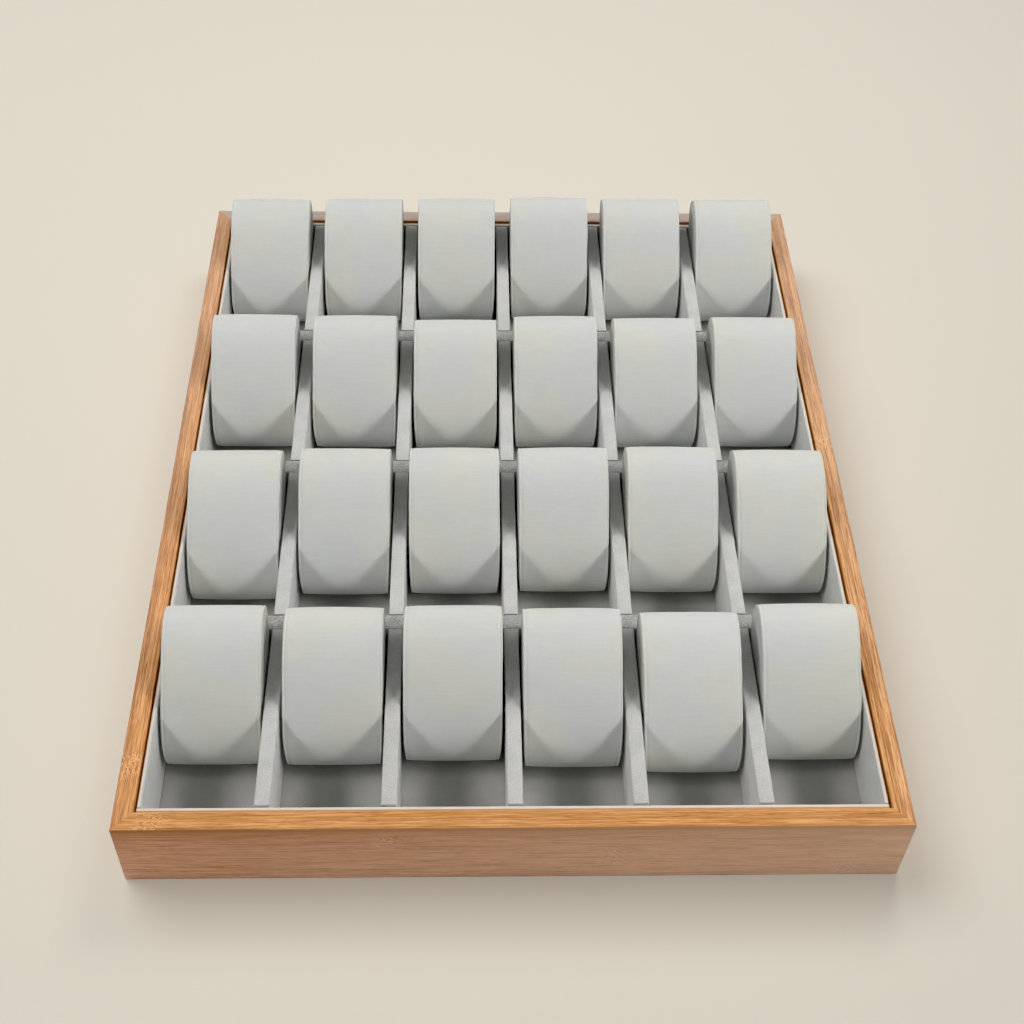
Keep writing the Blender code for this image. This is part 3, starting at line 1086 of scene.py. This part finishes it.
def make_pillow(row, column, band, caps, width, plain_length):
    """One pillow: its band with the caps at its two sides."""
    name = f"pillow_r{row}_c{column}"
    lie = lie_of(name)
    chance = np.random.default_rng(COLUMNS * row + column)
    wrap = place_pillow(band, f"{name}_band", lie, width, plain_length, chance)
    keep_clear(wrap, row)
    smooth(wrap, PILLOW_CREASE_DEGREES)
    # The band's rims take the lighter suede, a painted highlight.
    dress(wrap, SUEDE, RIM_SUEDE_HIGHLIGHT)
    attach(wrap, name)
    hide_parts(name)
    for label, master in caps.items():
        cap = place_pillow(master, f"{name}_{label}_cap", lie, width, plain_length)
        keep_clear(cap, row)
        smooth(cap, PILLOW_CREASE_DEGREES)
        # The caps take the darker suede, painted shade.
        dress(cap, CAP_SUEDE_PAINTED_SHADE)
        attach(cap, name)


def make_pillows():
    plain = lie_of("pillow_r4_c1")
    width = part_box("pillow_r4_c1")[1].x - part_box("pillow_r4_c1")[0].x - 2 * BAND_EASE
    band, caps = make_masters(width, plain.length, plain.thickness)
    for row in range(1, ROWS + 1):
        for column in range(1, COLUMNS + 1):
            make_pillow(row, column, band, caps, width, plain.length)
    for master in (band, *caps.values()):
        bpy.data.objects.remove(master, do_unlink=True)


make_pillows()


# Floor, light and camera

def make_floor():
    bpy.ops.object.select_all(action="DESELECT")
    bpy.ops.mesh.primitive_plane_add(size=FLOOR_SIZE, location=(0, 0, -FLOOR_DROP))
    floor = new_piece("studio_floor")
    made, tree, shader, place = new_material("warm_paper")
    vector = place.outputs["Object"]
    away = node(tree, "ShaderNodeVectorMath", {0: vector}, operation="LENGTH").outputs["Value"]
    # Painted light: the paper pales with distance from the tray, making up for the lamps' falloff.
    set_inputs(tree, shader, {
        "Base Color": mix_colours(tree, spread(tree, away, *PAPER_FADE), NEAR_PAPER, FAR_PAPER_PAINTED_LIGHT),
        "Roughness": 0.9,
    })
    dress(floor, made)


def add_lamp(data):
    """Put a lamp of the studio's colour in the scene."""
    data.color = LAMP_COLOUR
    lamp = bpy.data.objects.new(data.name, data)
    bpy.context.scene.collection.objects.link(lamp)
    return lamp


def soft_light(name, place, across, up, power):
    """An oval softbox that looks at the tray."""
    data = bpy.data.lights.new(name, "AREA")
    data.shape = "ELLIPSE"
    data.size = across
    data.size_y = up
    data.energy = power
    lamp = add_lamp(data)
    lamp.location = place
    lamp.rotation_euler = (-Vector(place)).to_track_quat("-Z", "Y").to_euler()
    return lamp


def wide_sky(name, power):
    """A sun as wide as most of the sky, so that its shadows are very soft."""
    data = bpy.data.lights.new(name, "SUN")
    data.energy = power
    data.angle = math.radians(SKY_DEGREES)
    return add_lamp(data)


def light_only(lamp, state):
    """The studio floor alone is lit by this lamp (INCLUDE) or alone left out (EXCLUDE)."""
    receivers = bpy.data.collections.new(f"{lamp.name}_receivers")
    receivers.objects.link(bpy.data.objects["studio_floor"])
    receivers.collection_objects[0].light_linking.link_state = state
    lamp.light_linking.receiver_collection = receivers


def make_world():
    """A pale room that is brighter overhead."""
    world = bpy.data.worlds.new("studio_air")
    bpy.context.scene.world = world
    world.use_nodes = True
    tree = world.node_tree
    place = node(tree, "ShaderNodeTexCoord").outputs["Generated"]
    colour = ramp(tree, axes_of(tree, place)[2], ROOM_TONES)
    set_inputs(tree, tree.nodes["Background"], {"Color": colour, "Strength": ROOM_STRENGTH})


def make_camera():
    data = bpy.data.cameras.new("camera")
    data.sensor_width = SENSOR_MM
    data.lens = FOCAL_PIXELS / IMAGE_PIXELS * SENSOR_MM
    camera = bpy.data.objects.new("camera", data)
    camera.matrix_world = (
        Matrix.Translation(CAMERA_PLACE)
        @ Matrix.Rotation(math.radians(-CAMERA_YAW), 4, "Z")
        @ Matrix.Rotation(math.radians(90 - CAMERA_PITCH), 4, "X")
        @ Matrix.Rotation(math.radians(-CAMERA_ROLL), 4, "Z")
    )
    bpy.context.scene.collection.objects.link(camera)
    bpy.context.scene.camera = camera


def set_tone():
    """A plain view with slightly deeper darks."""
    view = bpy.context.scene.view_settings
    view.view_transform = "Standard"
    view.use_curve_mapping = True
    view.curve_mapping.black_level = (DEEPEST, DEEPEST, DEEPEST)
    view.curve_mapping.update()


make_floor()
make_world()
for lamp in (
    soft_light("left_softbox", place=(-1.28, -0.12, 1.22), across=1.8, up=0.42, power=15.0),
    soft_light("right_softbox", place=(1.30, -0.12, 1.16), across=1.8, up=0.42, power=19.8),
    soft_light("rear_left_kicker", place=(-1.00, 1.15, 0.97), across=0.6, up=0.6, power=4.4),
    soft_light("rear_right_kicker", place=(1.00, 1.15, 0.97), across=0.6, up=0.6, power=4.7),
    soft_light("top_light", place=(-0.10, 0.00, 2.90), across=0.8, up=0.8, power=7.5),
    soft_light("high_front_fill", place=(0.0, -0.90, 1.05), across=0.5, up=0.5, power=0.6),
    soft_light("low_front_fill", place=(0.90, -1.30, 0.35), across=0.8, up=0.8, power=1.3),
):
    light_only(lamp, "EXCLUDE")
for lamp in (
    wide_sky("backdrop_sky", power=0.82),
    soft_light("backdrop_wash", place=(0.20, -1.10, 3.20), across=0.25, up=0.25, power=63.0),
    soft_light("backdrop_key", place=(-0.90, 0.58, 1.88), across=1.55, up=1.55, power=34.5),
    soft_light("backdrop_glow", place=(0.30, 0.60, 1.00), across=0.5, up=0.5, power=4.3),
):
    light_only(lamp, "INCLUDE")
make_camera()
set_tone()
